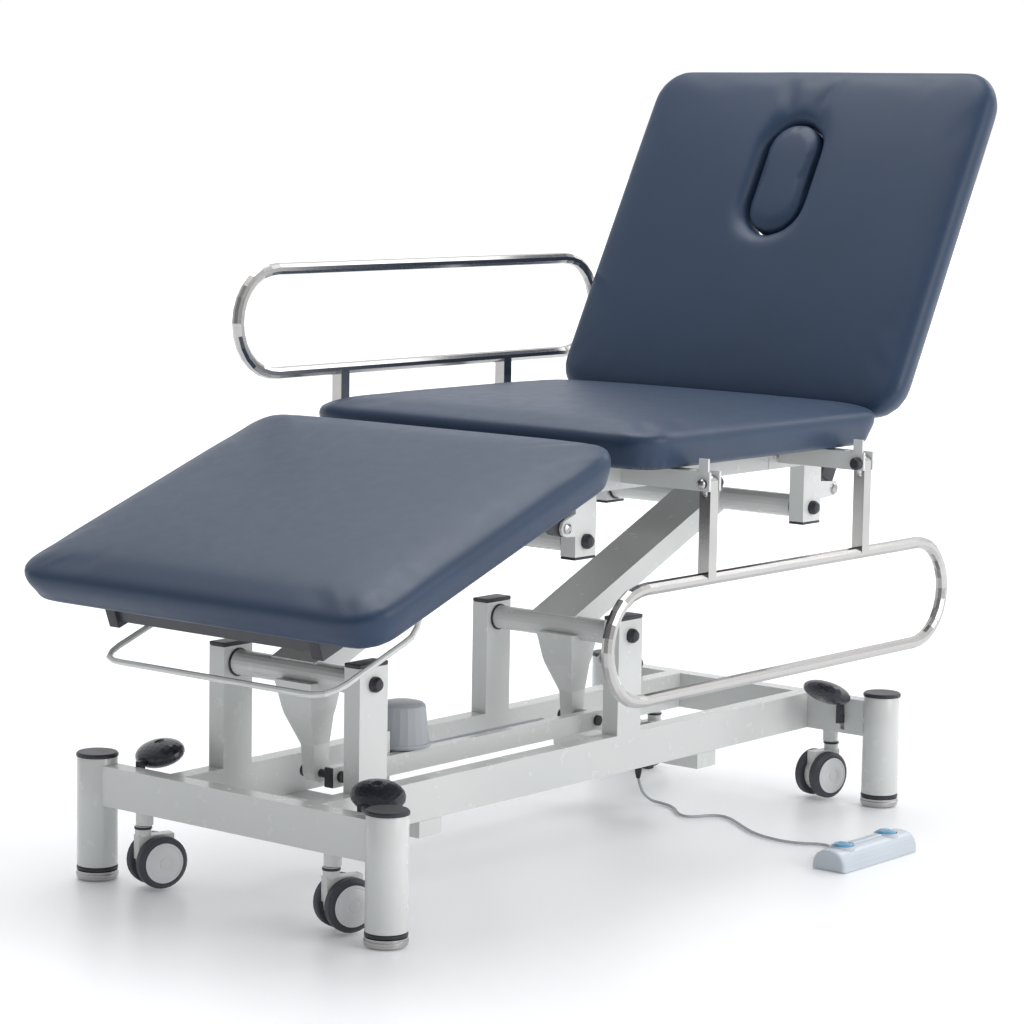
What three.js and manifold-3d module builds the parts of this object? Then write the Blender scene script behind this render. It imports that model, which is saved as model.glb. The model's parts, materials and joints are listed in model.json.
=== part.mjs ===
// Three-section electric treatment couch: a welded base on four round posts, a parallelogram lift driven by
// a linear actuator, and a seat frame that carries a seat, a folding leg section, a reclining backrest and
// two swing-down side rails. Millimetres, +Z up, +Y towards the head end, +X the side with the foot switch.
import * as THREE from 'three';
import { mergeVertices } from 'three/addons/utils/BufferGeometryUtils.js';
import Module from 'manifold-3d';

// ---- driving dimensions -------------------------------------------------------------------------
const GAP = 0.3;                        // clearance between touching pieces
const CENTRE_X = 69.5;                   // from the base centre to the middle of the whole footprint
const CENTRE_Y = 76.16;

const POST_X = 289;                     // base posts, 60 mm tube
const POST_Y = 625;
const POST_R = 30;
const POST_FOOT_Z = 21;                 // height of the levelling foot
const POST_TOP_Z = 186;
const BEAM_Z0 = 116;                    // 60 x 30 mm base beams and rails
const BEAM_Z1 = 176;
const BEAM_T = 30;
const RAIL_X = 135;                     // centre of the two long base rails
const UPRIGHT_Y = [-500, 106];          // uprights that carry the lower pivots
const UPRIGHT_W = 60;
const UPRIGHT_TOP = 358;
const MEMBER_Y = [-372, 318];           // flat cross-members under the rails
const MEMBER_W = 50;
const MEMBER_H = 25;

const LOWER_Z = 333;                    // lower pivot height
const UPPER_Y = [-102, 504];            // upper pivots of the parallelogram
const UPPER_Z = 509;
const PIVOT_R = 19;                     // pivot tubes
const PIVOT_HALF = 117;                 // lower tubes run between the uprights
const UPPER_HALF = 190;                 // upper tubes run between the drop brackets
const AXLE_R = 6;
const KNOB_R = 11.5;
const ARM_W = 88;
const ARM_T = 36;

const HORN_X = 22;                      // lever under each lower tube
const HORN_DY = 16;
const HORN_DZ = -148;
const LINK_X = 65;
const LINK_W = 16;
const LINK_H = 30;
const ACTUATOR_X = 44;
const ACTUATOR_Z = LOWER_Z + HORN_DZ;

const SIDE_X = 204;                     // seat frame side tubes and drop brackets
const SIDE_W = 28;
const SEAT_TOP = 621;                   // top of the seat frame, under the boards
const CROSS_Y = [-3, 415];              // cross tubes that carry the side rails
const CROSS_T = 30;
const DROP_W = 50;
const DROP_Z0 = 486;
const LEG_HINGE = { y: -148, z: 532 };
const BACK_HINGE = { y: 545, z: 655 };   // at the seat's rear edge, half way up the cushions
const REAR_EAR = { y: 568, z: 535 };
const LEG_ANGLE = THREE.MathUtils.degToRad(20);
const BACK_ANGLE = THREE.MathUtils.degToRad(61.5);

const CUSHION_W = 700;
const CUSHION_T = 60;
const CUSHION_GAP = 1;                  // clearance between cushion board and frame
const SEAT_Y = [-124, 532];
const LEG_Y = [-728, -132];
const BACK_LENGTH = 640;
const BACK_START = 2;                   // cushion edge past the hinge when it lies flat
const LEG_TUBE_X = 201;
const BACK_TUBE_X = 201;
const TUBE_W = 20;                      // leg and backrest frame tubes
const CORNER_R = 60;                    // cushion corners in plan
const EDGE_R = 20;                      // cushion edges
const FACE_X = -8;                      // centre of the face opening on the backrest
const FACE_Y = 429;
const FACE_SIZE = [106, 212];
const BAR_HINGE = { y: -330, z: 70 };   // release bar pivot, from the leg hinge
const BAR_R = 4.5;

const RAIL_PIVOT_Z = 602;
const RAIL_PLANE_X = 373;
const RAIL_Y = [-254, 676];
const RAIL_TUBE_R = 10;
const RAIL_POST = 20;
const RAIL_BOLT_R = 4;
const SLOT_TRAVEL = 18;
const LOOP_TOP = -144;                  // centre of the upper loop tube below the bolts
const LOOP_DROP = 166;

const CASTOR_X = 188;
const CASTOR_Y = 628;
const WHEEL_R = 39;
const WHEEL_W = 17;
const TRAIL = 22;
const CASTOR_TURN = { head: -0.22, foot: -0.35 };
const PEDAL_ARM_DX = 33;                // pedal arm and pad, outward from the castor's axis
const PEDAL_PAD_DX = 30;

const SWITCH_X = 493;
const SWITCH_Y = [165, 374];
const SWITCH_HALF_W = 30;
const SWITCH_H = 32;
const BUTTON_Y = [205, 328];
const BUTTON_R = 16;
const CABLE_R = 2.5;
const CABLE_ROUTE = [
  [-14, 352, 62], [-14, 352, 50], [-12, 353, 36], [-7, 358, 18], [4, 366, 6], [20, 370, 3], [42, 364, 2.8],
  [64, 350, 2.8], [84, 331, 2.8], [102, 318, 2.8], [118, 318, 2.8], [128, 330, 2.8], [138, 348, 2.8],
  [154, 358, 2.8], [176, 352, 2.8], [204, 334, 2.8], [236, 311, 2.8], [268, 292, 2.8], [300, 281, 2.8],
  [334, 277, 2.8], [360, 283, 2.8], [384, 297, 2.8], [402, 300, 2.8], [416, 288, 2.8], [422, 268, 2.8],
  [426, 246, 3.5], [434, 226, 7], [447, 216.5, 9.7], [459, 215, 10], [469, 215, 10],
];

// ---- materials ----------------------------------------------------------------------------------
const coat = (color, roughness, metalness = 0) => new THREE.MeshStandardMaterial({ color, roughness, metalness });
const WHITE = coat('#dfe1df', 0.3);
const CHARCOAL = coat('#36383e', 0.55);
const STEEL = coat('#c5c3bf', 0.28, 1);
const VINYL = coat('#44546e', 0.5);
const GREY_PLASTIC = coat('#b4b8be', 0.5);
const TYRE = coat('#5d5f68', 0.7);
const BLUE = coat('#5b9cc4', 0.35);
const CABLE = coat('#b9bbbf', 0.5);


// ---- booleans -----------------------------------------------------------------------------------
const wasm = await Module();
wasm.setup();

function toSolid(geometry) {
  const plain = geometry.clone();
  plain.deleteAttribute('normal');
  plain.deleteAttribute('uv');
  const merged = mergeVertices(plain, 1e-4);
  const triVerts = new Uint32Array(merged.index.array);
  return new wasm.Manifold(new wasm.Mesh({
    numProp: 3, vertProperties: new Float32Array(merged.attributes.position.array), triVerts,
  }));
}

function toGeometry(solid) {
  const mesh = solid.getMesh();
  const geometry = new THREE.BufferGeometry();
  geometry.setAttribute('position', new THREE.BufferAttribute(mesh.vertProperties, 3));
  geometry.setIndex(new THREE.BufferAttribute(mesh.triVerts, 1));
  geometry.computeVertexNormals();
  return geometry;
}

const join = (...geometries) => toGeometry(geometries.map(toSolid).reduce((a, b) => a.add(b)));
const cut = (body, ...tools) => toGeometry(tools.map(toSolid).reduce((a, b) => a.subtract(b), toSolid(body)));

// ---- shape helpers ------------------------------------------------------------------------------
const span = ([x0, x1], [y0, y1], [z0, z1]) => new THREE.BoxGeometry(x1 - x0, y1 - y0, z1 - z0)
  .translate((x0 + x1) / 2, (y0 + y1) / 2, (z0 + z1) / 2);
const around = (centre, width) => [centre - width / 2, centre + width / 2];
const cylinder = (radius, length, sides) => new THREE.CylinderGeometry(radius, radius, length, sides);
const barX = (radius, [x0, x1], y, z, sides = 20) => cylinder(radius, x1 - x0, sides)
  .rotateZ(Math.PI / 2).translate((x0 + x1) / 2, y, z);
const barY = (radius, [y0, y1], x, z, sides = 20) => cylinder(radius, y1 - y0, sides)
  .translate(x, (y0 + y1) / 2, z);
const barZ = (radius, [z0, z1], x, y, sides = 24) => cylinder(radius, z1 - z0, sides)
  .rotateX(Math.PI / 2).translate(x, y, (z0 + z1) / 2);
const lathe = (profile, sides = 24) => new THREE
  .LatheGeometry(profile.map(([r, z]) => new THREE.Vector2(r, z)), sides)
  .rotateX(Math.PI / 2);
const sidesOf = (x) => (x > 0 ? 'near' : 'far');

// Plate outline in Y and Z, extruded along X from x0 to x1.
function plateX(points, [x0, x1]) {
  const shape = new THREE.Shape(points.map(([y, z]) => new THREE.Vector2(y, z)));
  const geometry = new THREE.ExtrudeGeometry(shape, { depth: x1 - x0, bevelEnabled: false });
  return geometry.rotateZ(Math.PI / 2).rotateY(Math.PI / 2).translate(x0, 0, 0);
}

function stadium(width, length, segments = 8) {
  const r = width / 2;
  const reach = length / 2 - r;
  const shape = new THREE.Shape();
  shape.absarc(0, reach, r, 0, Math.PI, false);
  shape.absarc(0, -reach, r, Math.PI, 2 * Math.PI, false);
  return new THREE.Shape(shape.getPoints(segments));
}

function roundedRectangle([x0, x1], [y0, y1], radius) {
  const shape = new THREE.Shape();
  shape.absarc(x1 - radius, y1 - radius, radius, 0, Math.PI / 2, false);
  shape.absarc(x0 + radius, y1 - radius, radius, Math.PI / 2, Math.PI, false);
  shape.absarc(x0 + radius, y0 + radius, radius, Math.PI, 1.5 * Math.PI, false);
  shape.absarc(x1 - radius, y0 + radius, radius, 1.5 * Math.PI, 2 * Math.PI, false);
  return new THREE.Shape(shape.getPoints(4));
}

// Round-edged slab with its underside at z = 0.
function slab(shape, thickness, edge, steps = 2) {
  return new THREE.ExtrudeGeometry(shape, {
    depth: thickness - 2 * edge,
    bevelThickness: edge,
    bevelSize: edge,
    bevelOffset: -edge,
    bevelSegments: steps,
  }).translate(0, 0, edge);
}

const couch = new THREE.Group();
couch.position.set(-CENTRE_X, -CENTRE_Y, 0);

function add(name, geometry, material, parent = couch) {
  const mesh = new THREE.Mesh(geometry, material);
  mesh.name = name;
  parent.add(mesh);
  return mesh;
}

function pivotGroup(y, z, angle, parent = couch) {
  const group = new THREE.Group();
  group.position.set(0, y, z);
  group.rotation.x = angle;
  parent.add(group);
  return group;
}

// ---- base ---------------------------------------------------------------------------------------
function endFrame(name, y) {
  const inward = -Math.sign(y);
  const posts = [-POST_X, POST_X].map((x) => barZ(POST_R, [POST_FOOT_Z + GAP, POST_TOP_Z], x, y));
  const beam = span([-POST_X, POST_X], around(y, BEAM_T), [BEAM_Z0, BEAM_Z1]);
  const sockets = [-CASTOR_X, CASTOR_X].map((x) => barZ(13, [97, BEAM_Z0 + 1], x, y, 16));
  const slots = [-CASTOR_X, CASTOR_X].map((x) => span(
    around(x + Math.sign(x) * PEDAL_ARM_DX, 9), around(y + inward * BEAM_T / 2, 16), [122, 160],
  ));
  return add(name, cut(join(beam, ...posts, ...sockets), ...slots), WHITE);
}

function sideFrame(x) {
  const rail = span(around(x, BEAM_T), around(0, 2 * (POST_Y - BEAM_T / 2 - GAP)), [BEAM_Z0, BEAM_Z1]);
  const height = [BEAM_Z1 - 1, UPRIGHT_TOP];
  const uprights = UPRIGHT_Y.map((y) => span(around(x, BEAM_T), around(y, UPRIGHT_W), height));
  const bores = UPRIGHT_Y.map((y) => barX(AXLE_R + GAP, around(x, BEAM_T + 2), y, LOWER_Z, 12));
  add(`base_rail_${sidesOf(x)}`, cut(join(rail, ...uprights), ...bores), WHITE);
}

function postFittings(x, y) {
  const place = `${y > 0 ? 'head' : 'foot'}_${sidesOf(x)}`;
  const cap = lathe([[0, 0], [31.5, 0], [31.5, 4], [29.5, 6], [0, 6]]).translate(x, y, POST_TOP_Z + GAP);
  const foot = lathe([[0, 0], [28, 0], [31, 3], [31, 14], [28.5, 15], [28.5, POST_FOOT_Z], [0, POST_FOOT_Z]]);
  add(`post_cap_${place}`, cap, CHARCOAL);
  add(`levelling_foot_${place}`, foot.translate(x, y, 0), STEEL);
}

function base() {
  endFrame('base_end_foot', -POST_Y);
  endFrame('base_end_head', POST_Y);
  [RAIL_X, -RAIL_X].forEach(sideFrame);
  [-POST_X, POST_X].forEach((x) => [-POST_Y, POST_Y].forEach((y) => postFittings(x, y)));
  const below = [BEAM_Z0 - MEMBER_H - GAP, BEAM_Z0 - GAP];
  add('cross_member_head', span([-150, 150], around(MEMBER_Y[1], MEMBER_W), below), WHITE);
  const flat = span([-150, 150], around(MEMBER_Y[0], MEMBER_W), below);
  const slot = slab(stadium(15, 50), 12, 1).rotateX(Math.PI / 2).rotateZ(Math.PI / 2);
  const cheek = (x) => cut(span(around(x, 5), around(MEMBER_Y[0], 30), [BEAM_Z0 - 2, 232]),
    slot.clone().translate(x - 6, MEMBER_Y[0], 198));
  add('cross_member_foot', join(flat, cheek(LINK_X - 44), cheek(LINK_X - 12)), WHITE);
}

// Axle with a black dome nut on each end.
function axle(name, half, y, z, parent = couch, centre = 0) {
  const dome = (side) => lathe([[0, 0], [KNOB_R, 0], [KNOB_R, 6], [8, 11], [0, 12.5]], 14)
    .rotateY(side * Math.PI / 2).translate(centre + side * (half + GAP), y, z);
  const rod = barX(AXLE_R, [centre - half - 2, centre + half + 2], y, z, 12);
  return add(name, join(rod, dome(-1), dome(1)), CHARCOAL, parent);
}

// ---- lift arms, link and actuator ---------------------------------------------------------------
function hornShape() {
  const [y, z] = [HORN_DY, HORN_DZ];
  const points = [[-34, -8], [-22, -60], [y - 17, z * 0.72], [y - 14, z], [y - 10, z - 11], [y, z - 15],
    [y + 10, z - 11], [y + 14, z], [y + 17, z * 0.72], [26, -60], [34, -8]];
  const taper = toSolid(plateX(points, around(HORN_X, 76)));
  const outline = new THREE.Shape([[-38, 6], [-30, -50], [-13, -105], [-11, z - 20], [11, z - 20], [13, -105],
    [30, -50], [38, 6]].map(([u, v]) => new THREE.Vector2(u, v)));
  const front = new THREE.ExtrudeGeometry(outline, { depth: 160, bevelEnabled: false })
    .rotateX(Math.PI / 2).translate(HORN_X, 80, 0);
  return toGeometry(taper.intersect(toSolid(front)));
}

function liftArm(name, index) {
  const [y0, y1] = [UPRIGHT_Y[index], UPPER_Y[index]];
  const [dy, dz] = [y1 - y0, UPPER_Z - LOWER_Z];
  const length = Math.hypot(dy, dz);
  const beam = span(around(0, ARM_W), [0, length], around(3, ARM_T)).rotateX(Math.atan2(dz, dy));
  const lower = barX(PIVOT_R, [-PIVOT_HALF, PIVOT_HALF], 0, 0);
  const upper = barX(PIVOT_R, [-UPPER_HALF + 0.4, UPPER_HALF - 0.4], dy, dz);
  const bores = [barX(AXLE_R + GAP, [-PIVOT_HALF - 1, PIVOT_HALF + 1], 0, 0, 12),
    barX(AXLE_R + GAP, [-UPPER_HALF, UPPER_HALF], dy, dz, 12),
    barX(AXLE_R + GAP, around(HORN_X, 90), HORN_DY, HORN_DZ, 12)];
  add(name, cut(join(beam, lower, upper, hornShape()), ...bores).translate(0, y0, LOWER_Z), WHITE);
}

function lift() {
  ['lift_arm_foot', 'lift_arm_head'].forEach(liftArm);
  UPRIGHT_Y.forEach((y, i) => axle(`lower_axle_${['foot', 'head'][i]}`, RAIL_X + BEAM_T / 2, y, LOWER_Z));
  UPPER_Y.forEach((y, i) => axle(`upper_axle_${['foot', 'head'][i]}`, SIDE_X + SIDE_W / 2, y, UPPER_Z));
  const ends = UPRIGHT_Y.map((y) => y + HORN_DY);
  const z = LOWER_Z + HORN_DZ;
  const bar = span(around(LINK_X, LINK_W), [ends[0] - 16, ends[1] + 22], around(z, LINK_H));
  const holes = ends.map((y) => barX(AXLE_R + GAP, around(LINK_X, LINK_W + 2), y, z, 12));
  add('link_bar', cut(bar, ...holes), WHITE);
  ends.forEach((y, i) => {
    const bolt = join(barX(AXLE_R, [HORN_X - 13, LINK_X + LINK_W / 2 + 3], y, z, 12),
      barX(KNOB_R - 2, [HORN_X - 22, HORN_X - 12.5], y, z, 16),
      barX(KNOB_R - 3, [LINK_X + LINK_W / 2 + GAP, LINK_X + LINK_W / 2 + 5], y, z, 16));
    add(`link_bolt_${['foot', 'head'][i]}`, bolt, CHARCOAL);
  });
}

// Motor above a gearbox on the outer tube; its rear pin floats in the slotted cheeks of the cross-member.
function actuator() {
  const rear = MEMBER_Y[0];
  const end = UPRIGHT_Y[1] + HORN_DY;
  const [x, z] = [ACTUATOR_X - 8, ACTUATOR_Z];
  const motor = new THREE.CylinderGeometry(35, 42, 62, 20).rotateX(Math.PI / 2).translate(x + 4, rear + 60, z + 48);
  const gearbox = span(around(x, 20), [rear + 26, rear + 100], around(z, 34));
  const saddle = span(around(x, 40), around(rear + 60, 56), [z + 16, z + 20]);
  const eye = barX(12, around(x, 20), rear, z, 16);
  const lug = span(around(x, 20), [rear, rear + 28], around(z, 20));
  const pin = barX(4.5, [x - 20, x + 20], rear, z, 12);
  const tube = barY(12, [rear + 98, rear + 400], x, z, 16);
  const bore = barY(8.5, [rear + 250, rear + 401], x, z, 12);
  add('actuator_body', cut(join(gearbox, saddle, motor, eye, lug, pin, tube), bore), GREY_PLASTIC);
  const rod = barY(8, [rear + 345, end - 30], x, z, 12);
  const lugEnd = barX(14, around(x + 6, 14), end, z, 16);
  const head = join(rod, lugEnd, span([x - 1, x + 8], [end - 40, end - 8], around(z, 12)));
  add('actuator_rod', cut(head, barX(AXLE_R + GAP, around(x, 40), end, z, 12)), STEEL);
}

// ---- seat frame ---------------------------------------------------------------------------------
function seatSide(x) {
  const out = Math.sign(x);
  const skin = around(x + out * (SIDE_W / 2 - 2.5), 5);
  const tube = span(around(x, SIDE_W), [UPPER_Y[0] - 30, UPPER_Y[1] + DROP_W / 2], [SEAT_TOP - 40, SEAT_TOP]);
  const drops = UPPER_Y.map((y) => span(around(x, SIDE_W), around(y, DROP_W), [DROP_Z0, SEAT_TOP - 39]));
  const [h, b] = [LEG_HINGE, REAR_EAR];
  const front = plateX([[UPPER_Y[0] - 20, h.z - 14], [h.y, h.z - 13], [h.y - 9, h.z - 9], [h.y - 13, h.z],
    [h.y - 9, h.z + 9], [h.y, h.z + 13], [UPPER_Y[0] - 20, h.z + 22]], skin);
  const rear = plateX([[UPPER_Y[1] + 20, b.z - 14], [b.y, b.z - 11], [b.y + 8, b.z - 8], [b.y + 11, b.z],
    [b.y + 8, b.z + 12], [UPPER_Y[1] + 20, b.z + 16]], skin);
  const arms = CROSS_Y.map((y) => railArm(out, y));
  const bores = [...UPPER_Y.map((y) => barX(AXLE_R + GAP, around(x, SIDE_W + 2), y, UPPER_Z, 12)),
    barX(4 + GAP, around(x, SIDE_W + 2), h.y, h.z, 10), barX(4 + GAP, around(x, SIDE_W + 2), b.y, b.z, 10)];
  add(`seat_side_${sidesOf(x)}`, cut(join(tube, ...drops, front, rear, ...arms), ...bores), WHITE);
}

// Outrigger whose open end forms two cheeks for a side rail post, with an upright stop tab on one cheek.
function railArm(out, y) {
  const inner = SIDE_X + SIDE_W / 2 - 1;
  const end = RAIL_PLANE_X + 11;
  const mirror = (a, b) => [Math.min(out * a, out * b), Math.max(out * a, out * b)];
  const arm = span(mirror(inner, end), around(y, CROSS_T), [SEAT_TOP - 30, SEAT_TOP - 1]);
  const tab = span(mirror(RAIL_PLANE_X - 9, RAIL_PLANE_X + 8), [y - 15, y - 11], [SEAT_TOP - 10, 640]);
  const mouth = span(mirror(RAIL_PLANE_X - 32, end + 1), around(y, RAIL_POST + 1), [SEAT_TOP - 32, SEAT_TOP + 1]);
  const bolt = barY(RAIL_BOLT_R + GAP, around(y, CROSS_T + 2), out * RAIL_PLANE_X, RAIL_PIVOT_Z, 10);
  return cut(join(arm, tab), mouth, bolt);
}

function seatFrame() {
  [SIDE_X, -SIDE_X].forEach(seatSide);
  const inner = SIDE_X - SIDE_W / 2 - GAP;
  CROSS_Y.forEach((y, i) => add(`seat_cross_${['foot', 'head'][i]}`,
    span([-inner, inner], around(y, CROSS_T), [SEAT_TOP - 30, SEAT_TOP - 1]), WHITE));
  add('seat_cushion', slab(roundedRectangle(around(0, CUSHION_W), SEAT_Y, CORNER_R), CUSHION_T, EDGE_R)
    .translate(0, 0, SEAT_TOP + CUSHION_GAP), VINYL);
}

// ---- leg section --------------------------------------------------------------------------------
function legSection() {
  const leg = pivotGroup(LEG_HINGE.y, LEG_HINGE.z, LEG_ANGLE);
  const top = SEAT_TOP - LEG_HINGE.z;
  const [foot, head] = [LEG_Y[0] - LEG_HINGE.y, LEG_Y[1] - LEG_HINGE.y];
  const tubeEnd = -8;
  const sides = [-LEG_TUBE_X, LEG_TUBE_X].map((x) => {
    const tube = span(around(x, TUBE_W), [foot + 40, tubeEnd], [top - 38, top]);
    const lug = plateX([[-60, top - 30], [-14, -6], [-7, -11], [0, -12], [8, -9], [12, 0], [8, 9],
      [tubeEnd, top - 30]], around(x, TUBE_W));
    return join(tube, lug);
  });
  const depth = [top - 30, top - 1];
  const ties = [foot + 60, -190].map((y) => span([-LEG_TUBE_X, LEG_TUBE_X], around(y, 30), depth));
  const bores = [-1, 1].map((s) => barX(BAR_R + 1, around(s * LEG_TUBE_X, 30), BAR_HINGE.y, BAR_HINGE.z, 10));
  const pivots = [-1, 1].map((s) => barX(4 + GAP, around(s * LEG_TUBE_X, 30), 0, 0, 10));
  add('leg_frame', cut(join(...sides, ...ties), ...bores, ...pivots), CHARCOAL, leg);
  add('leg_cushion', slab(roundedRectangle(around(0, CUSHION_W), [foot, head], CORNER_R), CUSHION_T, EDGE_R)
    .translate(0, 0, top + CUSHION_GAP), VINYL, leg);
  const reach = SIDE_X + SIDE_W / 2;
  const heads = [-1, 1].map((s) => lathe([[0, 0], [8, 0], [8, 3], [4, 5], [0, 5]], 14)
    .rotateY(s * Math.PI / 2).translate(s * (reach + GAP), 0, 0));
  add('leg_hinge_axle', join(barX(4, [-reach - 2, reach + 2], 0, 0, 10), ...heads), STEEL, leg);
  releaseBar(leg, foot);
}

// U-shaped release bar under the foot end, hung on the leg frame's side tubes.
function releaseBar(leg, foot) {
  const x = 226;
  const z = 8;
  const corner = 34;
  const end = foot + 17;
  const half = (s) => [
    [s * (LEG_TUBE_X - 6), BAR_HINGE.y, BAR_HINGE.z], [s * (LEG_TUBE_X + 8), BAR_HINGE.y, BAR_HINGE.z],
    [s * (x - 8), BAR_HINGE.y, BAR_HINGE.z],
    [s * x, BAR_HINGE.y - 4, BAR_HINGE.z - 5],
    [s * x, BAR_HINGE.y - 30, z + 12],
    [s * x, BAR_HINGE.y - 52, z],
    [s * x, BAR_HINGE.y - 70, z], [s * x, end + corner + 12, z], [s * x, end + corner, z],
    [s * (x - corner * 0.29), end + corner * 0.29, z],
    [s * (x - corner), end, z],
    [s * (x - corner - 12), end, z],
  ];
  const points = [...half(-1), ...half(1).reverse()].map((p) => new THREE.Vector3(...p));
  add('leg_release_bar', bentBar(points, BAR_R, 56, 8), WHITE, leg);
}

// Round bar through the given points.
function bentBar(points, radius, steps, sides) {
  const ring = new THREE.Shape();
  ring.absarc(0, 0, radius, 0, 2 * Math.PI, false);
  const section = new THREE.Shape(ring.getPoints(sides / 2).slice(0, -1));
  const path = new THREE.CatmullRomCurve3(points, false, 'centripetal');
  return new THREE.ExtrudeGeometry(section, { steps, extrudePath: path });
}

// ---- backrest -----------------------------------------------------------------------------------
function backrest() {
  const back = pivotGroup(BACK_HINGE.y, BACK_HINGE.z, BACK_ANGLE);
  const top = SEAT_TOP - BACK_HINGE.z;
  const along = [BACK_START + 30, 590];
  const depth = [top - 30, top - 1];
  const sides = [-BACK_TUBE_X, BACK_TUBE_X].map((x) => span(around(x, 20), along, [top - 38, top]));
  const ties = [BACK_START + 60, 560].map((y) => span([-BACK_TUBE_X, BACK_TUBE_X], around(y, 30), depth));
  add('backrest_frame', join(...sides, ...ties), CHARCOAL, back);
  const outline = roundedRectangle(around(0, CUSHION_W), [BACK_START, BACK_START + BACK_LENGTH], CORNER_R);
  const [w, l] = FACE_SIZE;
  const hole = stadium(w + 6, l + 6);
  const under = top + CUSHION_GAP;
  const opening = new THREE.ExtrudeGeometry(hole, { depth: 80, bevelEnabled: false }).translate(FACE_X, FACE_Y, -10);
  const cushion = cut(slab(outline, CUSHION_T, EDGE_R), opening).translate(0, 0, under);
  add('backrest_cushion', cushion, VINYL, back);
  add('face_plug', slab(stadium(w, l), CUSHION_T + 2, 8).translate(FACE_X, FACE_Y, under), VINYL, back);
}

// ---- side rails ---------------------------------------------------------------------------------
// Stadium loop on two slotted posts, drawn hanging from its bolts at z = 0.
function railGeometry(posts) {
  const r = LOOP_DROP / 2;
  const mid = (RAIL_Y[0] + RAIL_Y[1]) / 2;
  const zc = LOOP_TOP - r;
  const half = (s) => {
    const end = s > 0 ? RAIL_Y[1] - RAIL_TUBE_R - r : RAIL_Y[0] + RAIL_TUBE_R + r;
    const arc = Array.from({ length: 9 }, (_, i) => {
      const a = Math.PI / 2 - (i * Math.PI) / 8;
      return new THREE.Vector3(0, end + s * r * Math.cos(a), zc + r * Math.sin(a));
    });
    const run = (z) => [mid - s, (mid + end) / 2, end - s * 14].map((y) => new THREE.Vector3(0, y, z));
    return bentBar([...run(zc + r), ...arc, ...run(zc - r).reverse()], RAIL_TUBE_R, 52, 10);
  };
  const rise = RAIL_BOLT_R + GAP + 8;
  const legs = posts.map((y) => join(span(around(0, RAIL_POST), around(y, RAIL_POST), [LOOP_TOP, rise - 8]),
    barY(RAIL_POST / 2, around(y, RAIL_POST), 0, rise - 10, 14)));
  const slotW = 2 * (RAIL_BOLT_R + GAP);
  const slots = posts.map((y) => slab(stadium(slotW, SLOT_TRAVEL + slotW, 6), 30, 0.5)
    .rotateX(Math.PI / 2).translate(0, y + 15, -SLOT_TRAVEL / 2));
  return cut(join(half(-1), half(1), ...legs), ...slots);
}

function railBolt(name, x, y, knobSide, parent) {
  const knob = lathe([[0, 0], [10, 0], [10, 8], [8, 11], [0, 11]], 16).rotateX(knobSide * -Math.PI / 2)
    .translate(x, y + knobSide * (CROSS_T / 2 + GAP), RAIL_PIVOT_Z);
  const head = lathe([[0, 0], [7, 0], [7, 4], [0, 5]], 14).rotateX(knobSide * Math.PI / 2)
    .translate(x, y - knobSide * (CROSS_T / 2 + GAP), RAIL_PIVOT_Z);
  const shank = barY(RAIL_BOLT_R, around(y, CROSS_T + 4), x, RAIL_PIVOT_Z, 10);
  add(name, join(shank, knob, head), CHARCOAL, parent);
}

function sideRails() {
  const near = add('rail_near', railGeometry(CROSS_Y), STEEL);
  near.position.set(RAIL_PLANE_X, 0, RAIL_PIVOT_Z);
  const far = add('rail_far', railGeometry(CROSS_Y), STEEL);
  far.rotation.y = Math.PI;
  far.position.set(-RAIL_PLANE_X, 0, RAIL_PIVOT_Z - SLOT_TRAVEL);
  [1, -1].forEach((s) => CROSS_Y.forEach((y, i) => railBolt(
    `rail_bolt_${sidesOf(s)}_${['foot', 'head'][i]}`, s * RAIL_PLANE_X, y, i === 0 ? 1 : -1,
  )));
}

// ---- castors ------------------------------------------------------------------------------------
function castor(x, y) {
  const place = `${y > 0 ? 'head' : 'foot'}_${sidesOf(x)}`;
  const group = new THREE.Group();
  group.position.set(x, y, 0);
  group.rotation.z = y > 0 ? CASTOR_TURN.head : CASTOR_TURN.foot;
  couch.add(group);
  const hubZ = WHEEL_R + 3;
  const dy = y > 0 ? -TRAIL : TRAIL;
  const neck = barZ(12, [80.5, 96], 0, 0, 16);
  const body = join(neck, span([-9, 9], [Math.min(-11, dy - 24), Math.max(11, dy + 24)], [hubZ + 4, 82]),
    barX(30, [-9, 9], dy, hubZ, 20));
  add(`castor_fork_${place}`, cut(body, barX(5.3, [-10, 10], dy, hubZ, 12)), WHITE, group);
  const disc = (s) => {
    const profile = [[0, 0], [WHEEL_R - 2, 0], [WHEEL_R, 2.5], [WHEEL_R, WHEEL_W - 4], [WHEEL_R - 5, WHEEL_W],
      [0, WHEEL_W + 1]];
    return lathe(profile, 30).rotateY(s * Math.PI / 2).translate(s * 9.5, dy, hubZ);
  };
  add(`castor_wheel_${place}`, join(disc(-1), disc(1), barX(5, [-10, 10], dy, hubZ, 12)), TYRE, group);
  pedal(place, x, Math.sign(y));
}

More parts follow.
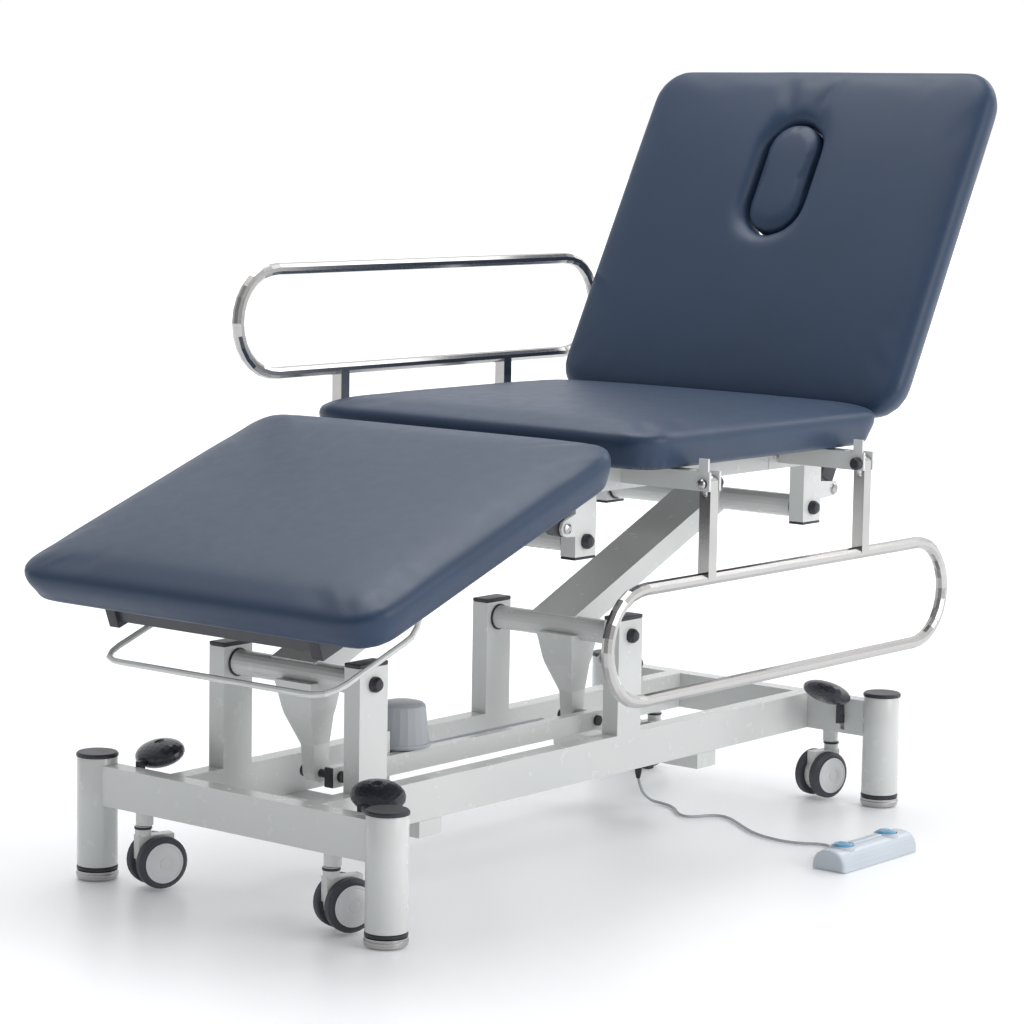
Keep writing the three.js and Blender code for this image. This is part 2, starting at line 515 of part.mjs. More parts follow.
// Oval foot lever over the beam, on an arm that enters the beam's inner face.
function pedal(place, x, side) {
  const y = side * POST_Y;
  const inward = -Math.sign(y);
  const out = Math.sign(x);
  const padX = x + out * PEDAL_PAD_DX;
  const pad = new THREE.SphereGeometry(1, 24, 12).scale(45, 32, 18).rotateY(out * 0.1).rotateX(inward * 0.42)
    .translate(padX, y + inward * 60, BEAM_Z1 + 15);
  const dimple = new THREE.SphereGeometry(13, 16, 8).translate(padX, y + inward * 55, BEAM_Z1 + 42);
  const armX = around(x + out * PEDAL_ARM_DX, 8);
  const y2 = (a, b) => [Math.min(y + inward * a, y + inward * b), Math.max(y + inward * a, y + inward * b)];
  const upright = span(armX, y2(BEAM_T / 2 + 2, BEAM_T / 2 + 14), [134, BEAM_Z1 + 8]);
  const bridge = span(armX, y2(BEAM_T / 2 + 2, 60), [BEAM_Z1, BEAM_Z1 + 8]);
  const tongue = span(armX, y2(BEAM_T / 2 - 7, BEAM_T / 2 + 4), [134, 146]);
  add(`castor_pedal_${place}`, join(cut(pad, dimple), upright, bridge, tongue), CHARCOAL);
}

// ---- foot switch and its cable ------------------------------------------------------------------
function footSwitch() {
  const [y0, y1] = SWITCH_Y;
  const bulge = (v) => Math.sign(v) * Math.abs(v) ** 0.8;
  const arch = Array.from({ length: 15 }, (_, i) => {
    const a = (Math.PI * i) / 14;
    return new THREE.Vector2(SWITCH_HALF_W * bulge(Math.cos(a)), SWITCH_H * bulge(Math.sin(a)));
  });
  const length = y1 - y0;
  const body = new THREE.ExtrudeGeometry(new THREE.Shape(arch), {
    depth: length - 12, bevelThickness: 6, bevelSize: 3, bevelOffset: -3, bevelSegments: 2,
  }).rotateX(Math.PI / 2).translate(SWITCH_X, y1 - 6, 0.4);
  const wells = BUTTON_Y.map((y) => barZ(BUTTON_R + 1, [25, 42], SWITCH_X, y, 24));
  const [, inletY, inletZ] = CABLE_ROUTE[CABLE_ROUTE.length - 1];
  const inletX = SWITCH_X - SWITCH_HALF_W;
  const inlet = barX(CABLE_R + 0.6, [inletX - 2, inletX + 12], inletY, inletZ, 12);
  add('foot_switch', cut(body, ...wells, inlet), GREY_PLASTIC);
  BUTTON_Y.forEach((y, i) => {
    const dome = lathe([[0, 0], [BUTTON_R, 0], [BUTTON_R, 6], [13, 9], [7, 10.6], [0, 11]], 24);
    add(`foot_button_${['down', 'up'][i]}`, dome.translate(SWITCH_X, y, 28), BLUE);
  });
  const [x, y, z] = CABLE_ROUTE[0];
  const box = span(around(x - 20, 90), around(y + 2, 14), [z, 112]);
  const gland = barZ(6, [z - 8, z + 1], x, y, 16);
  add('control_box', cut(join(box, gland), barZ(CABLE_R + GAP, [z - 9, z + 6], x, y, 12)), CHARCOAL);
  const points = CABLE_ROUTE.map((p) => new THREE.Vector3(...p));
  add('foot_switch_cable', bentBar(points, CABLE_R, 60, 8), CABLE);
}

base();
lift();
actuator();
seatFrame();
legSection();
backrest();
sideRails();
[-CASTOR_X, CASTOR_X].forEach((x) => [-CASTOR_Y, CASTOR_Y].forEach((y) => castor(x, y)));
footSwitch();

export default couch;
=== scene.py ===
"""Electric treatment couch: upholstery, fittings, materials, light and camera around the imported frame."""

import json
import math

import bmesh
import bpy
from mathutils import Matrix, Vector


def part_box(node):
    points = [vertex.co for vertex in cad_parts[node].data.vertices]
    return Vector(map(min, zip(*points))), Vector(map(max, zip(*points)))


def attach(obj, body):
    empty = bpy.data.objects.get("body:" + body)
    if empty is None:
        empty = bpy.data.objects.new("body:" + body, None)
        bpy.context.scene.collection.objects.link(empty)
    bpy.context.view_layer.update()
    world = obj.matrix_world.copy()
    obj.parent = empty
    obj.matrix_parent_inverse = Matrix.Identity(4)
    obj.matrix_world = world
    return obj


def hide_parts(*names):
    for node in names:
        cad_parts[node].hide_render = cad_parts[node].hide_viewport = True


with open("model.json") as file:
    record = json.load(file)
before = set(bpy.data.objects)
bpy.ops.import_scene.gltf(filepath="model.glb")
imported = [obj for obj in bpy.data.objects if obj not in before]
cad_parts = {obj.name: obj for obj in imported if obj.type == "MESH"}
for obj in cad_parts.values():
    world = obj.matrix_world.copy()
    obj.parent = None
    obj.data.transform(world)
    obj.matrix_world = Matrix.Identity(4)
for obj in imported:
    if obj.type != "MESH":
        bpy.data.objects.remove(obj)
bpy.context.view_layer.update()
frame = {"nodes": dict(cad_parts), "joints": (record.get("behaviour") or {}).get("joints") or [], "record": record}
nodes = frame["nodes"]
scene = bpy.context.scene

# ---- places: millimetres from the middle of the base, at floor level ----------------------------
foot_low, foot_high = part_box("base_end_foot")
_, head_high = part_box("base_end_head")
BASE = Vector(((foot_low.x + foot_high.x) / 2, (foot_low.y + head_high.y) / 2, 0))
MM = 0.001


def at(x, y, z):
    return BASE + Vector((x, y, z)) * MM


def joint_place(name):
    joint = next(j for j in frame["joints"] if j["name"] == name)
    return Vector(joint["pos_m"])


LEG_SLOPE = Matrix.Rotation(math.radians(20), 4, "X")
BACK_SLOPE = Matrix.Rotation(math.radians(61.5), 4, "X")
LEG = Matrix.Translation(joint_place("leg_fold")) @ LEG_SLOPE
BACK = Matrix.Translation(joint_place("backrest_recline")) @ BACK_SLOPE
LEG.translation.x = BACK.translation.x = BASE.x
UPRIGHT_X, UPRIGHT_Y = 135, (-500, 106)
UPPER_Y = (-102, 504)
LOWER_Z, UPPER_Z = 333, 509             # pivots of the lift arms
POST_X, POST_Y = 289, 625
SIDE_X = 204                            # seat side tubes and drop brackets
FRAME_TUBE_X = 201                      # side tubes of the leg frame and the backrest frame
CASTOR_X, CASTOR_Y = 188, 628
RAIL_X, RAIL_Z = 373, 602               # bolts of the side rails
SWITCH_X = 493
CABLE_INLET = (463, 215, 10)
SIDES = (("near", 1), ("far", -1))
ENDS = (("foot", -1), ("head", 1))
CAP_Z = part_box("post_cap_foot_near")[0].z / MM

# ---- camera -------------------------------------------------------------------------------------
azimuth, pitch, roll = math.radians(39.25), math.radians(7.08), math.radians(0.93)
ahead = Vector((-math.sin(azimuth) * math.cos(pitch), math.cos(azimuth) * math.cos(pitch), -math.sin(pitch)))
right = Vector((math.cos(azimuth), math.sin(azimuth), 0))
up = right.cross(ahead)
rolled_right = right * math.cos(roll) + up * math.sin(roll)
rolled_up = up * math.cos(roll) - right * math.sin(roll)
camera = bpy.data.objects.new("camera", bpy.data.cameras.new("camera"))
camera.data.lens = 111.5
camera.data.sensor_width = 36
camera.data.clip_end = 200
turn = Matrix((rolled_right, rolled_up, -ahead)).transposed().to_4x4()
camera.matrix_world = Matrix.Translation(at(3125, -3836, 1139)) @ turn
scene.collection.objects.link(camera)
scene.camera = camera


# ---- materials ----------------------------------------------------------------------------------
def surface(name, colour, rough, metal=0.0, mottle=0.06, grain=0.1, grain_size=0.8, cells=False,
            coat=0.0, stretch=(1, 1, 1), uneven=0.16, shine=0.5):
    """Shader with cloudy colour, uneven gloss and a fine raised grain; grain_size is in millimetres."""
    m = bpy.data.materials.new(name)
    m.use_nodes = True
    n, link = m.node_tree.nodes, m.node_tree.links.new
    shader = n["Principled BSDF"]
    place = n.new("ShaderNodeTexCoord")
    mapping = n.new("ShaderNodeMapping")
    mapping.inputs["Scale"].default_value = stretch
    link(place.outputs["Object"], mapping.inputs["Vector"])
    cloud = n.new("ShaderNodeTexNoise")
    cloud.inputs["Scale"].default_value = 9
    cloud.inputs["Detail"].default_value = 5
    link(mapping.outputs[0], cloud.inputs["Vector"])
    tint = n.new("ShaderNodeValToRGB")
    for element, scale in zip(tint.color_ramp.elements, (1 - mottle, 1 + mottle)):
        element.color = [min(1, c * scale) for c in colour] + [1]
    tint.color_ramp.elements[0].position = 0.3
    tint.color_ramp.elements[1].position = 0.7
    link(cloud.outputs["Fac"], tint.inputs["Fac"])
    link(tint.outputs["Color"], shader.inputs["Base Color"])
    smear = n.new("ShaderNodeTexNoise")
    smear.inputs["Scale"].default_value = 45
    smear.inputs["Detail"].default_value = 6
    link(mapping.outputs[0], smear.inputs["Vector"])
    gloss = n.new("ShaderNodeMapRange")
    gloss.inputs["To Min"].default_value = rough * (1 - uneven)
    gloss.inputs["To Max"].default_value = min(1, rough * (1 + uneven))
    link(smear.outputs["Fac"], gloss.inputs["Value"])
    link(gloss.outputs[0], shader.inputs["Roughness"])
    fine = n.new("ShaderNodeTexVoronoi" if cells else "ShaderNodeTexNoise")
    fine.inputs["Scale"].default_value = 1000 / grain_size
    link(mapping.outputs[0], fine.inputs["Vector"])
    bump = n.new("ShaderNodeBump")
    bump.inputs["Strength"].default_value = grain
    bump.inputs["Distance"].default_value = 0.0004
    link(fine.outputs[0], bump.inputs["Height"])
    link(bump.outputs[0], shader.inputs["Normal"])
    shader.inputs["Metallic"].default_value = metal
    shader.inputs["Specular IOR Level"].default_value = shine
    shader.inputs["Coat Weight"].default_value = coat
    shader.inputs["Coat Roughness"].default_value = 0.12
    return m


PAINT = surface("white_powder_coat", (0.68, 0.695, 0.68), 0.27, mottle=0.008, grain=0.03, grain_size=4,
                coat=0.3, uneven=0.05)
DARK_PAINT = surface("dark_powder_coat", (0.05, 0.053, 0.062), 0.42, mottle=0.1, grain=0.2, grain_size=1.5)
BLACK = surface("black_plastic", (0.025, 0.025, 0.032), 0.42, mottle=0.15, grain=0.25, grain_size=0.7)
PEDAL = surface("pedal_plastic", (0.028, 0.029, 0.04), 0.28, mottle=0.12, grain=0.1, grain_size=0.6,
                coat=0.25)
ZINC = surface("zinc_plate", (0.46, 0.45, 0.45), 0.24, metal=1.0, mottle=0.08, grain=0.1, grain_size=1.5)
POLISHED = surface("polished_tube", (0.5, 0.49, 0.48), 0.2, metal=1.0, mottle=0.07, grain=0.12, grain_size=3,
                   stretch=(1, 0.06, 1))
VINYL = surface("navy_vinyl", (0.024, 0.047, 0.093), 0.42, mottle=0.05, grain=0.3, grain_size=1.1, cells=True,
                shine=0.38)
LINING = surface("black_lining", (0.02, 0.02, 0.023), 0.85, mottle=0.2, grain=0.8, grain_size=1.2, cells=True)
GREY = surface("grey_plastic", (0.42, 0.44, 0.47), 0.38, mottle=0.04, grain=0.15, grain_size=0.9)
SWITCH = surface("switch_plastic", (0.55, 0.6, 0.66), 0.33, mottle=0.03, grain=0.12, grain_size=0.8, coat=0.2)
TYRE = surface("grey_tyre", (0.05, 0.053, 0.066), 0.5, mottle=0.1, grain=0.25, grain_size=1)
HUB = surface("hub_plastic", (0.72, 0.73, 0.74), 0.32, mottle=0.03, grain=0.1, grain_size=1.2, coat=0.2)
BLUE = surface("blue_button", (0.1, 0.32, 0.52), 0.22, mottle=0.05, grain=0.06, grain_size=1, coat=0.5)
SHEATH = surface("cable_sheath", (0.45, 0.46, 0.49), 0.42, mottle=0.05, grain=0.2, grain_size=0.5)

BY_SLOT = {"white_paint": PAINT, "dark_paint": DARK_PAINT, "black_plastic": BLACK, "zinc_steel": ZINC,
           "polished_steel": POLISHED, "vinyl": VINYL, "grey_plastic": GREY, "grey_tyre": TYRE,
           "blue_plastic": BLUE, "cable_sheath": SHEATH}
SPECIAL = {"foot_switch": SWITCH}
NO_BEVEL = ("rail_", "leg_release_bar", "castor_pedal", "foot_button", "axle", "bolt")
slots = {part["node"]: part["material_slot"] for part in frame["record"]["subparts"]}

for name, obj in nodes.items():
    finish = SPECIAL.get(name, PEDAL if name.startswith("castor_pedal") else BY_SLOT[slots[name]])
    obj.data.materials.clear()
    obj.data.materials.append(finish)
    for face in obj.data.polygons:
        face.use_smooth = True
    obj.data.set_sharp_from_angle(angle=math.radians(62 if "pedal" in name else 38))
    if not any(part in name for part in NO_BEVEL):
        edge = obj.modifiers.new("edges", "BEVEL")
        edge.width = 0.0012
        edge.segments = 2
        edge.limit_method = "ANGLE"
        edge.angle_limit = math.radians(50)
        edge.harden_normals = True


# ---- small fittings -----------------------------------------------------------------------------
def finish_piece(bm, name, body, material):
    mesh = bpy.data.meshes.new(name)
    bmesh.ops.recalc_face_normals(bm, faces=bm.faces)
    bm.to_mesh(mesh)
    bm.free()
    obj = bpy.data.objects.new(name, mesh)
    scene.collection.objects.link(obj)
    mesh.materials.append(material)
    for face in mesh.polygons:
        face.use_smooth = True
    mesh.set_sharp_from_angle(angle=math.radians(35))
    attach(obj, body)
    return obj


def frame_of(place, axis):
    """Matrix that stands local Z along axis at place."""
    return Matrix.Translation(place) @ Vector(axis).to_track_quat("Z", "Y").to_matrix().to_4x4()


def turned(name, body, material, profile, place, axis, steps=40):
    """Lathe a closed profile of (radius, height) in millimetres about axis; radius 0 closes on the axis."""
    bm = bmesh.new()
    points = [bm.verts.new((r * MM, 0, h * MM)) for r, h in profile]
    loop = profile[0][0] > 0
    pairs = list(zip(points, points[1:] + points[:1])) if loop else list(zip(points, points[1:]))
    edges = [bm.edges.new(pair) for pair in pairs]
    bmesh.ops.spin(bm, geom=points + edges, axis=(0, 0, 1), cent=(0, 0, 0), steps=steps, angle=2 * math.pi)
    bmesh.ops.remove_doubles(bm, verts=bm.verts, dist=1e-6)
    bm.transform(frame_of(place, axis))
    return finish_piece(bm, name, body, material)


def block(name, body, material, low, high, radius, place=Matrix.Identity(4)):
    """Box with rounded edges; low and high are millimetres in place's frame."""
    bm = bmesh.new()
    size = [h - l for l, h in zip(low, high)]
    middle = [(h + l) / 2 for l, h in zip(low, high)]
    bmesh.ops.create_cube(bm, size=1)
    bm.transform(Matrix.Translation(Vector(middle) * MM) @ Matrix.Diagonal([s * MM for s in size] + [1]))
    bmesh.ops.bevel(bm, geom=bm.edges[:], offset=radius * MM, segments=3, affect="EDGES", profile=0.6)
    bm.transform(place)
    return finish_piece(bm, name, body, material)


TABLE = Matrix.Translation(BASE)
RING = [(13, -1.2), (20.5, -1.2), (21.2, -0.5), (21.2, 0.5), (20.5, 1.2), (13, 1.2)]
SLEEVE = [(19.1, -1.8), (21, -1.8), (21.6, -1), (21.6, 1), (21, 1.8), (19.1, 1.8)]
DOME = [(0, 0), (6, 0), (6.4, 0.8), (5.6, 2.4), (3.4, 3.4), (1.2, 3.7), (0.8, 2.9), (0, 2.7)]

for side, s in SIDES:
    for (end, e), upright, upper in zip(ENDS, UPRIGHT_Y, UPPER_Y):
        place = f"{end}_{side}"
        post = at(s * POST_X, e * POST_Y, 0)
        block(f"upright_cap_{place}", "base", BLACK,
              (s * UPRIGHT_X - 15.5, upright - 30.5, 358.3), (s * UPRIGHT_X + 15.5, upright + 30.5, 364.5),
              2, TABLE)
        block(f"bracket_cap_{place}", "seat", BLACK,
              (s * SIDE_X - 14.2, upper - 25.2, 481.5), (s * SIDE_X + 14.2, upper + 25.2, 485.7), 1.6, TABLE)
        turned(f"lower_bush_{place}", f"lift_{end}", BLACK, RING,
               at(s * 118.5, upright, LOWER_Z), (1, 0, 0))
        turned(f"upper_bush_{place}", f"lift_{end}", BLACK, SLEEVE,
               at(s * 187.4, upper, UPPER_Z), (1, 0, 0))
        turned(f"post_coat_{place}", "base", PAINT,
               [(30.05, 21.4), (30.35, 21.9), (30.35, CAP_Z - 0.5), (30.05, CAP_Z)], post, (0, 0, 1), 72)
        turned(f"foot_ring_{place}", "base", BLACK,
               [(28.8, 15.3), (30.6, 15.6), (31, 17), (30.6, 20.4), (28.8, 20.8)],
               post, (0, 0, 1))
        turned(f"foot_groove_{place}", "base", ZINC,
               [(31, 5.5), (31.7, 6), (31.9, 8), (31.7, 10), (31, 10.5)], post, (0, 0, 1))
        rail_y, knob = ((-3, 1), (415, -1))[e > 0]
        turned(f"rail_screw_{place}", f"rail_pivot_{side}", ZINC,
               [(0, 0), (7.4, 0), (7.8, 0.8), (6.6, 2.8), (3.6, 3.9), (1.6, 4.1), (1.2, 3), (0, 2.8)],
               at(s * RAIL_X, rail_y - knob * 20.4, RAIL_Z), (0, -knob, 0))
    block(f"recline_stop_{side}", "seat", BLACK, (-13, -24, -19), (13, 22, 19), 4,
          Matrix.Translation(at(s * 203, 560, 571)) @ BACK_SLOPE)
    turned(f"ear_screw_{side}", "seat", ZINC,
           [(0, 0), (9, 0), (9.4, 1)] + [(r * 1.3, h + 1) for r, h in DOME[2:]],
           at(s * 218.1, 568, 535), (s, 0, 0))
    turned(f"side_screw_{side}", "seat", ZINC, DOME, at(s * 219.2, 395, 603), (s, 0, 0))
    inner, outer = sorted((s * 217.9, s * 219.3))
    block(f"side_sleeve_{side}", "seat", PAINT,
          (inner, 376, 582), (outer, 528, 620), 0.5, TABLE)
    for end, y in (("foot", -540.4), ("head", -6.9)):
        block(f"leg_plug_{end}_{side}", "leg", BLACK,
              (s * FRAME_TUBE_X - 9.7, y - 1, 51.4), (s * FRAME_TUBE_X + 9.7, y + 1, 88.6), 0.8, LEG)
    for end, y in (("low", 31), ("top", 591)):
        block(f"backrest_plug_{end}_{side}", "backrest", BLACK,
              (s * FRAME_TUBE_X - 9.7, y - 1, -71.6), (s * FRAME_TUBE_X + 9.7, y + 1, -34.4), 0.8, BACK)

for end, y in (("foot", -501), ("head", 145)):
    block(f"link_cap_{end}", "link", BLACK,
          (57.2, y - 1.4, 170.3), (72.8, y + 1.4, 199.7), 1, TABLE)
turned("motor_flange", "actuator", GREY,
       [(41, -2.5), (43, -2.5), (43.6, -1), (43.6, 1), (43, 2.5), (41, 2.5)],
       at(40, -312, 206), (0, 0, 1), 56)
turned("motor_cap", "actuator", GREY,
       [(0, 0), (34, 0), (34.4, 1), (31, 4.2), (22, 6.4), (10, 7.4), (0, 7.6)],
       at(40, -312, 263.7), (0, 0, 1), 56)
block("switch_ridge", "base", SWITCH, (486, 226, 29), (500, 307, 35.4), 3, TABLE)
for name, y in (("down", 205), ("up", 328)):
    turned(f"button_bezel_{name}", "base", SWITCH,
           [(17.1, 28), (19.6, 28), (19.2, 33.4), (18.2, 34.2), (17.1, 33.8)],
           at(SWITCH_X, y, 0), (0, 0, 1), 56)

# ---- castor covers ------------------------------------------------------------------------------
HUB_FACE = 0.0272                       # metres from the fork's middle to the wheel's face
HUB_COVER = [(0, 0), (29.5, 0), (30, 0.6), (29.2, 1.6), (26.5, 1.9), (25.6, 1.2), (24.6, 1.9), (10, 2.9),
             (8.8, 2.3), (8, 3.1), (0, 3.8)]
for side, s in SIDES:
    for end, e in ENDS:
        place = f"{end}_{side}"
        axle = next(j for j in frame["joints"] if j["name"] == f"castor_roll_{place}")
        axis, centre = Vector(axle["axis"]), Vector(axle["pos_m"])
        for facing in (-1, 1):
            which = "a" if facing > 0 else "b"
            turned(f"hub_cover_{place}_{which}", f"wheel_{place}", HUB, HUB_COVER,
                   centre + axis * facing * HUB_FACE, axis * facing)
        turned(f"stem_ring_{place}", f"castor_{place}", BLACK,
               [(11.2, 91), (13, 91.4), (13.4, 93), (13, 94.8), (11.2, 95.2)],
               at(s * CASTOR_X, e * CASTOR_Y, 0), (0, 0, 1))


# ---- cushions -----------------------------------------------------------------------------------
def arc(x, y, radius, angles):
    """Points of an arc round (x, y), in millimetres."""
    return [(x + radius * math.cos(a), y + radius * math.sin(a)) for a in angles]


def round_rectangle(half, y0, y1, radius, steps=10):
    corners = ((half - radius, y1 - radius, 0), (-half + radius, y1 - radius, 90),
               (-half + radius, y0 + radius, 180), (half - radius, y0 + radius, 270))
    return [point for x, y, start in corners
            for point in arc(x, y, radius, [math.radians(start + 90 * i / steps) for i in range(steps + 1)])]


def racetrack(width, length, centre, steps=20):
    radius, reach = width / 2, length / 2 - width / 2
    return [point for turn, lift in ((0, reach), (math.pi, -reach))
            for point in arc(centre[0], centre[1] + lift, radius,
                             [math.pi * i / steps + turn for i in range(steps + 1)])]


def prism(name, outline, z0, z1):
    """Upright prism over an outline, in millimetres."""
    bm = bmesh.new()
    bottom = bm.faces.new([bm.verts.new((x * MM, y * MM, z0 * MM)) for x, y in outline])
    raised = bmesh.ops.extrude_face_region(bm, geom=[bottom])["geom"]
    top = [v for v in raised if isinstance(v, bmesh.types.BMVert)]
    bmesh.ops.translate(bm, vec=(0, 0, (z1 - z0) * MM), verts=top)
    bmesh.ops.recalc_face_normals(bm, faces=bm.faces)
    mesh = bpy.data.meshes.new(name)
    bm.to_mesh(mesh)
    bm.free()
    obj = bpy.data.objects.new(name, mesh)
    scene.collection.objects.link(obj)
    return obj


def bake(obj):
    """Apply the modifiers to the mesh."""
    seen = obj.evaluated_get(bpy.context.evaluated_depsgraph_get())
    mesh = bpy.data.meshes.new_from_object(seen)
    obj.modifiers.clear()
    obj.data = mesh


PRESSURE = 4
SWELL_FRAMES = 20
BOARD_T = 9                             # stiff lower part of a cushion
SOFTENING = 24                          # smoothing passes that round the slab's edges
TUCK_SHARE, FOLD_SHARE = 0.7, 0.55      # share of the height that is pulled in, and that is folded
FOLDS, FOLD_DEPTH = 9, 0.0016
UNDERSIDE = 0.93                        # faces turned down at least this far are lining


def inflate(obj, floor, cap, settled):
    """Let the pad swell under pressure with its board held flat, no point moving more than cap."""
    board = obj.vertex_groups.new(name="board")
    board.add([v.index for v in obj.data.vertices if v.co.z < floor], 1, "REPLACE")
    before = [v.co.copy() for v in obj.data.vertices]
    cloth = obj.modifiers.new("swell", "CLOTH")
    cloth.settings.use_pressure = True
    cloth.settings.uniform_pressure_force = PRESSURE
    cloth.settings.effector_weights.gravity = 0
    cloth.settings.vertex_group_mass = "board"
    cloth.point_cache.frame_end = SWELL_FRAMES
    for step in range(1, SWELL_FRAMES + 1):
        scene.frame_set(step)
    bake(obj)
    scene.frame_set(1)
    for vertex, old in zip(obj.data.vertices, before):
        move = vertex.co - old
        if move.length > cap:
            vertex.co = old + move.normalized() * cap
    settle = obj.modifiers.new("settle", "SMOOTH")
    settle.iterations = settled
    bake(obj)


def shape_cushion(points, z0, z1, crown, tuck_in):
    """Crown the top, pull the sides in towards the underside and gather small folds at the lower corners."""
    half = max(abs(v.co.x) for v in points)
    low, high = min(v.co.y for v in points), max(v.co.y for v in points)
    middle, reach = (low + high) / 2, (high - low) / 2
    for v in points:
        u, w = min(1, abs(v.co.x) / half), min(1, abs(v.co.y - middle) / reach)
        share = max(0, (v.co.z / MM - z0) / (z1 - z0))
        v.co.z += crown * MM * share * (1 - u ** 4) * (1 - w ** 4)
        v.co.z = max(v.co.z, z0 * MM)
        tuck = tuck_in * MM * (1 - min(1, share / TUCK_SHARE)) ** 1.3
        v.co.x -= math.copysign(tuck * max(0, (u - 0.75) / 0.25), v.co.x)
        v.co.y -= math.copysign(tuck * max(0, (w - 0.75) / 0.25), v.co.y - middle)
        corner = max(0, u + w - 1.78) / 0.22
        if corner > 0 and share < FOLD_SHARE:
            spread = math.atan2(1 - w, 1 - u)
            ripple = 0.5 + 0.5 * math.cos(FOLDS * spread)
            fold = FOLD_DEPTH * min(1, corner * 2) * (1 - share / FOLD_SHARE) * ripple
            v.co.x -= math.copysign(fold * 0.7, v.co.x)
            v.co.y -= math.copysign(fold * 0.7, v.co.y - middle)


def cushion(name, node, body, outline, z0, z1, place, hole=None, shrink=-5, cap=5, voxel=7, crown=11,
            fill=0.85, tuck_in=18, settled=4):
    """Padded board: rounded, swollen, crowned and pleated at the lower corners, with a lining underneath."""
    obj = prism(name, outline(shrink), z0, z1)
    if hole:
        cutter = prism("cutter", hole, z0 - 20, z1 + 20)
        gap = obj.modifiers.new("hole", "BOOLEAN")
        gap.object = cutter
        bake(obj)
        bpy.data.objects.remove(cutter)
    remesh = obj.modifiers.new("voxels", "REMESH")
    remesh.mode = "VOXEL"
    remesh.voxel_size = voxel * MM
    bake(obj)
    soften = obj.modifiers.new("soften", "SMOOTH")
    soften.factor = 0.5
    soften.iterations = SOFTENING
    bake(obj)
    inflate(obj, (z0 + BOARD_T) * MM, cap * MM, settled)
    shape_cushion(obj.data.vertices, z0, z1, crown, tuck_in)
    obj.data.transform(place)
    obj.data.materials.clear()
    obj.data.materials.append(VINYL)
    obj.data.materials.append(LINING)
    down = place.to_3x3() @ Vector((0, 0, -1))
    for face in obj.data.polygons:
        face.use_smooth = True
        face.material_index = int(face.normal.dot(down) > UNDERSIDE)
    detail = obj.modifiers.new("detail", "SUBSURF")
    detail.levels = detail.render_levels = 1
    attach(obj, body)
    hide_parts(node)


HALF = 350
CORNER = 60
seat_low, seat_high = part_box("seat_cushion")
seat_y = [(v.y - BASE.y) / MM for v in (seat_low, seat_high)]
seat_z = [v.z / MM for v in (seat_low, seat_high)]
cushion("seat_upholstery", "seat_cushion", "seat",
        lambda g: round_rectangle(HALF - g, seat_y[0], seat_y[1], CORNER - g), *seat_z, TABLE)
cushion("leg_upholstery", "leg_cushion", "leg",
        lambda g: round_rectangle(HALF + 8 - g, -582 + g, 14, CORNER - g), 90, 150, LEG)
FACE_CENTRE = (-8, 429)
cushion("backrest_upholstery", "backrest_cushion", "backrest",
        lambda g: round_rectangle(HALF - g, 2, 642 - g, CORNER - g), -33, 27, BACK,
        hole=racetrack(112, 218, FACE_CENTRE), tuck_in=12, cap=2, settled=9)
cushion("face_plug_upholstery", "face_plug", "face_plug",
        lambda g: racetrack(106 - g * 0.4, 212 - g * 0.4, FACE_CENTRE), -33, 29, BACK,
        voxel=4, cap=2, crown=5, tuck_in=0, shrink=2)

# ---- foot switch cable --------------------------------------------------------------------------
ROUTE = ((-14, 352, 62), (-14, 352, 50), (-12, 353, 36), (-7, 358, 18), (4, 366, 6), (20, 370, 3),
         (42, 364, 2.8), (64, 350, 2.8), (84, 331, 2.8), (102, 318, 2.8), (118, 318, 2.8), (128, 330, 2.8),
         (138, 348, 2.8),
         (154, 358, 2.8), (176, 352, 2.8), (204, 334, 2.8), (236, 311, 2.8), (268, 292, 2.8), (300, 281, 2.8),
         (334, 277, 2.8), (360, 283, 2.8), (384, 297, 2.8), (402, 300, 2.8), (416, 288, 2.8), (422, 268, 2.8),
         (426, 246, 3.5), (434, 226, 7), (447, 216.5, 9.7), (459, 215, 10), (469, 215, 10))
CABLE_R = 2.5


def rounded_line(points, between=5):
    """Points of a smooth curve through the given ones."""
    ends = [points[0] * 2 - points[1]] + points + [points[-1] * 2 - points[-2]]
    line = []
    for a, b, c, d in zip(ends, ends[1:], ends[2:], ends[3:]):
        for i in range(between):
            t = i / between
            line.append(0.5 * (2 * b + (c - a) * t + (2 * a - 5 * b + 4 * c - d) * t ** 2
                               + (3 * b - a - 3 * c + d) * t ** 3))
    return line + [points[-1]]


route = rounded_line([at(*p) for p in ROUTE])
curve = bpy.data.curves.new("switch_cable", "CURVE")
curve.dimensions = "3D"
spline = curve.splines.new("POLY")
spline.points.add(len(route) - 1)
for point, place in zip(spline.points, route):
    point.co = (*place, 1)
curve.bevel_depth = CABLE_R * MM
curve.bevel_resolution = 4
curve.use_fill_caps = True
curve.materials.append(SHEATH)
cable = bpy.data.objects.new("switch_cable", curve)
scene.collection.objects.link(cable)
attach(cable, "base")
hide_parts("foot_switch_cable")
turned("switch_strain_relief", "base", SWITCH,
       [(2.6, 0), (5.4, 0), (5.2, 3), (3.8, 9), (3.2, 11), (2.6, 11)], at(*CABLE_INLET), (-1, 0, 0))
turned("box_strain_relief", "base", BLACK,
       [(2.6, 0), (5.6, 0), (5.2, 3), (3.8, 9), (3.2, 11), (2.6, 11)], at(-14, 352, 54), (0, 0, -1))

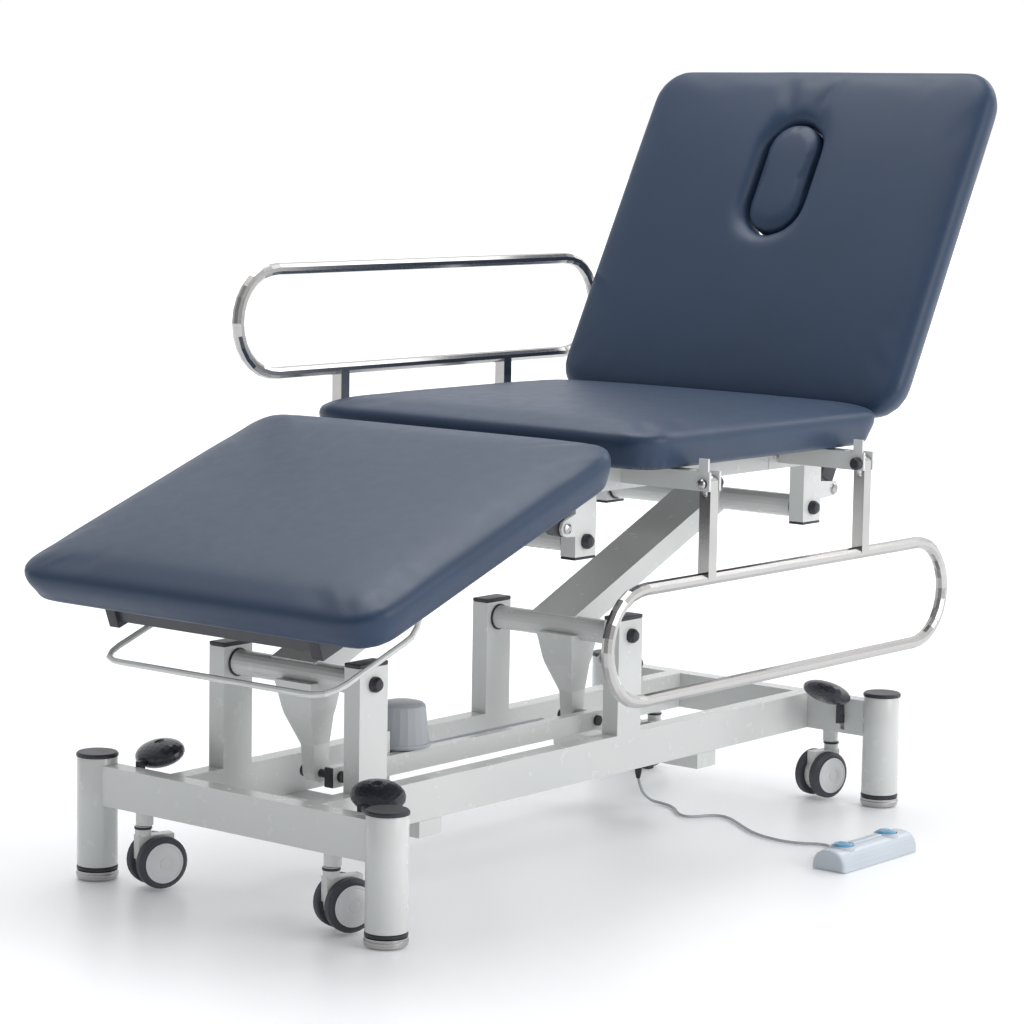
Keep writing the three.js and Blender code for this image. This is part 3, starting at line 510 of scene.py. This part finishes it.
# ---- floor and light ----------------------------------------------------------------------------
bm = bmesh.new()
bmesh.ops.create_circle(bm, cap_ends=True, segments=96, radius=60)
floor_mesh = bpy.data.meshes.new("floor")
bm.to_mesh(floor_mesh)
bm.free()
floor = bpy.data.objects.new("floor", floor_mesh)
floor.location.z = -0.0006
scene.collection.objects.link(floor)
pale = surface("floor", (0.9, 0.91, 0.93), 0.35, mottle=0.005, grain=0.0)
pale.node_tree.nodes["Principled BSDF"].inputs["Emission Color"].default_value = (0.98, 0.99, 1, 1)
reach = pale.node_tree.nodes.new("ShaderNodeVectorMath")
reach.operation = "LENGTH"
place = pale.node_tree.nodes.new("ShaderNodeTexCoord")
pale.node_tree.links.new(place.outputs["Object"], reach.inputs[0])
glow = pale.node_tree.nodes.new("ShaderNodeMapRange")
glow.inputs["From Min"].default_value = 1.0
glow.inputs["From Max"].default_value = 4.5
glow.inputs["To Min"].default_value = 0.1
glow.inputs["To Max"].default_value = 0.55
pale.node_tree.links.new(reach.outputs["Value"], glow.inputs["Value"])
pale.node_tree.links.new(glow.outputs[0], pale.node_tree.nodes["Principled BSDF"].inputs["Emission Strength"])
floor_mesh.materials.append(pale)

world = bpy.data.worlds.new("studio")
scene.world = world
world.use_nodes = True
sky, wire = world.node_tree.nodes, world.node_tree.links.new
sky["Background"].inputs["Color"].default_value = (0.985, 0.99, 1, 1)
direction = sky.new("ShaderNodeTexCoord")
along = sky.new("ShaderNodeSeparateXYZ")
wire(direction.outputs["Generated"], along.inputs[0])
room = sky.new("ShaderNodeMapRange")
room.inputs["From Min"].default_value = -0.8
room.inputs["From Max"].default_value = 0.5
room.inputs["To Min"].default_value = 0.3
room.inputs["To Max"].default_value = 1.03
wire(along.outputs["Y"], room.inputs["Value"])
wire(room.outputs[0], sky["Background"].inputs["Strength"])


def softbox(name, place, target, size, power):
    light = bpy.data.objects.new(name, bpy.data.lights.new(name, "AREA"))
    light.data.shape = "DISK"
    light.data.size = size
    light.data.energy = power
    light.location = place
    light.rotation_euler = (Vector(target) - Vector(place)).to_track_quat("-Z", "Y").to_euler()
    scene.collection.objects.link(light)


softbox("overhead", (-0.9, 0.4, 3.9), (0, 0, 0.5), 2.6, 62)
softbox("side", (4.2, 0.2, 2.2), (0, 0, 0.4), 2.4, 60)
softbox("rim", (0.6, 3.6, 3.2), (0, 0, 0.6), 2.4, 30)
scene.view_settings.view_transform = "Standard"
